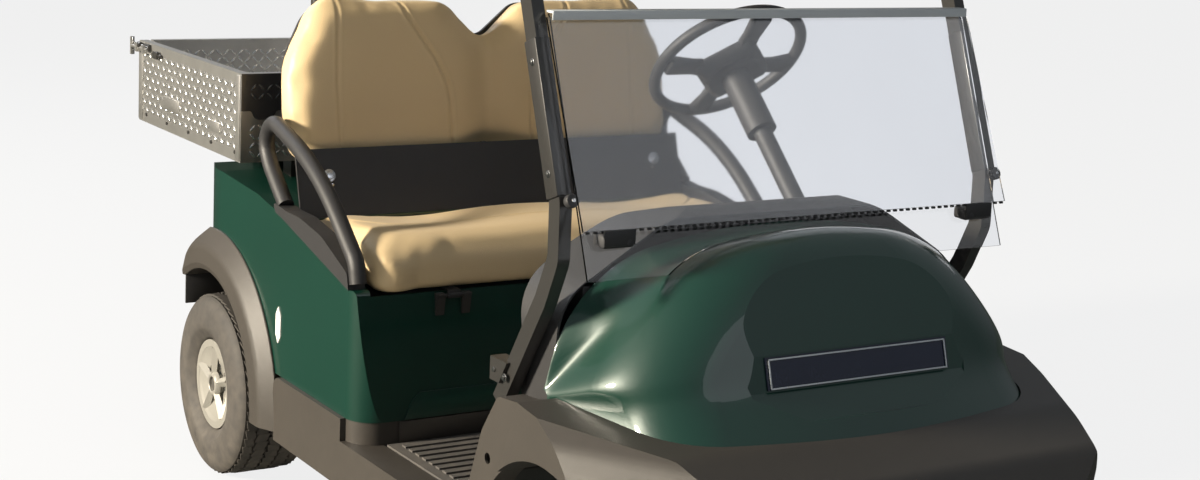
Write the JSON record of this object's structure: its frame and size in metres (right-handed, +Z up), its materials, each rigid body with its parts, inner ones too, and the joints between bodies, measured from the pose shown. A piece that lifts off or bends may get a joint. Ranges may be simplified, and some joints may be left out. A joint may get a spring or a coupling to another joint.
{
  "type": "golf cart",
  "caption": "Open electric golf cart with a canopy, folding windshield, bench seat, steered front wheels and a cargo box with a drop tailgate.",
  "frame": {"origin": "on the ground under the middle of the cart's overall box", "axes": "+X towards the driver's side, -Y forwards, +Z up"},
  "size_m": [1.1998, 2.7, 1.7999],
  "materials": {
    "green_body": "metallic gloss",
    "grey_plastic": "grained",
    "tyre_rubber": "matte",
    "wheel_silver": "satin",
    "tan_vinyl": "soft sheen",
    "black_steel": "satin",
    "tread_plate": "raised pattern",
    "black_plate": "raised pattern",
    "clear_sheet": "clear",
    "canopy_beige": "gloss",
    "mat_rubber": "ribbed",
    "reflector_white": "pearl",
    "battery_grey": "moulded",
    "cast_iron": "as cast",
    "motor_aluminium": "cast",
    "bright_steel": "ground",
    "dash_black": "grained",
    "plate_navy": "gloss",
    "shell_black": "moulded"
  },
  "bodies": {
    "chassis": {"battery_pack": "battery_grey", "canopy": "canopy_beige", "cargo_front_plate": "black_plate", "cargo_supports": "black_steel", "cargo_tub": "tread_plate", "dash_panel": "dash_black", "drive_motor": "motor_aluminium", "fender_sides": "grey_plastic", "floor_mat": "mat_rubber", "frame_members": "black_steel", "windshield_clips": "dash_black", "floor_pan": "black_steel", "frame_rails": "black_steel", "front_arms": "black_steel", "front_bumper": "grey_plastic", "front_cowl": "green_body", "front_struts": "black_steel", "hip_restraints": "shell_black", "kick_band": "grey_plastic", "leaf_springs": "black_steel", "name_plate": "plate_navy", "pedals": "black_steel", "rack_housing": "motor_aluminium", "rear_axle": "cast_iron", "rear_body": "green_body", "rear_bumper": "grey_plastic", "rear_flares": "grey_plastic", "rear_shocks": "black_steel", "rear_struts": "black_steel", "seat_back": "tan_vinyl", "seat_back_shell": "shell_black", "seat_hinges": "black_steel", "side_reflectors": "reflector_white", "sills": "grey_plastic", "steering_column": "dash_black", "support_panel": "shell_black", "windshield_lower": "clear_sheet", "windshield_upper": "clear_sheet"},
    "knuckle_left": {"knuckle_left": "cast_iron"},
    "knuckle_right": {"knuckle_right": "cast_iron"},
    "wheel_front_left": {"tyre_front_left": "tyre_rubber", "rim_front_left": "wheel_silver"},
    "wheel_front_right": {"tyre_front_right": "tyre_rubber", "rim_front_right": "wheel_silver"},
    "wheel_rear_left": {"tyre_rear_left": "tyre_rubber", "rim_rear_left": "wheel_silver"},
    "wheel_rear_right": {"tyre_rear_right": "tyre_rubber", "rim_rear_right": "wheel_silver"},
    "rack": {"steering_rack": "bright_steel"},
    "handwheel": {"steering_wheel": "dash_black"},
    "gate": {"tailgate": "tread_plate"},
    "seat": {"seat_bottom": "tan_vinyl", "seat_pan": "shell_black"}
  },
  "joints": [
    {"name": "steer_left", "type": "hinge", "parent": "chassis", "child": "knuckle_left", "pos_m": [0.375, -0.95, 0.228], "axis": [0, 0, 1], "range_deg": [-30, 30]},
    {"name": "steer_right", "type": "hinge", "parent": "chassis", "child": "knuckle_right", "pos_m": [-0.375, -0.95, 0.228], "axis": [0, 0, 1], "range_deg": [-30, 30]},
    {"name": "rack_slide", "type": "slide", "parent": "chassis", "child": "rack", "axis": [1, 0, 0], "range_m": [-0.058, 0.058]},
    {"name": "handwheel_turn", "type": "hinge", "parent": "chassis", "child": "handwheel", "pos_m": [0.262, -0.246, 1.142], "axis": [0, 0.7193, 0.6947], "range_deg": [-270, 270]},
    {"name": "spin_front_left", "type": "hinge", "parent": "knuckle_left", "child": "wheel_front_left", "pos_m": [0.438, -0.95, 0.228], "axis": [1, 0, 0], "continuous": true},
    {"name": "spin_front_right", "type": "hinge", "parent": "knuckle_right", "child": "wheel_front_right", "pos_m": [-0.438, -0.95, 0.228], "axis": [1, 0, 0], "continuous": true},
    {"name": "spin_rear_left", "type": "hinge", "parent": "chassis", "child": "wheel_rear_left", "pos_m": [0.489, 0.714, 0.228], "axis": [1, 0, 0], "continuous": true},
    {"name": "spin_rear_right", "type": "hinge", "parent": "chassis", "child": "wheel_rear_right", "pos_m": [-0.489, 0.714, 0.228], "axis": [1, 0, 0], "continuous": true},
    {"name": "gate_fold", "type": "hinge", "parent": "chassis", "child": "gate", "pos_m": [0, 1.322, 0.804], "axis": [-1, 0, 0], "range_deg": [0, 90]},
    {"name": "seat_lift", "type": "hinge", "parent": "chassis", "child": "seat", "pos_m": [0, -0.093, 0.618], "axis": [1, 0, 0], "range_deg": [0, 60]}
  ],
  "couplings": [
    {"joint": "steer_right", "follows": "steer_left", "ratio": 1},
    {"joint": "rack_slide", "follows": "steer_left", "m_per_rad": -0.11},
    {"joint": "handwheel_turn", "follows": "steer_left", "ratio": 9}
  ]
}
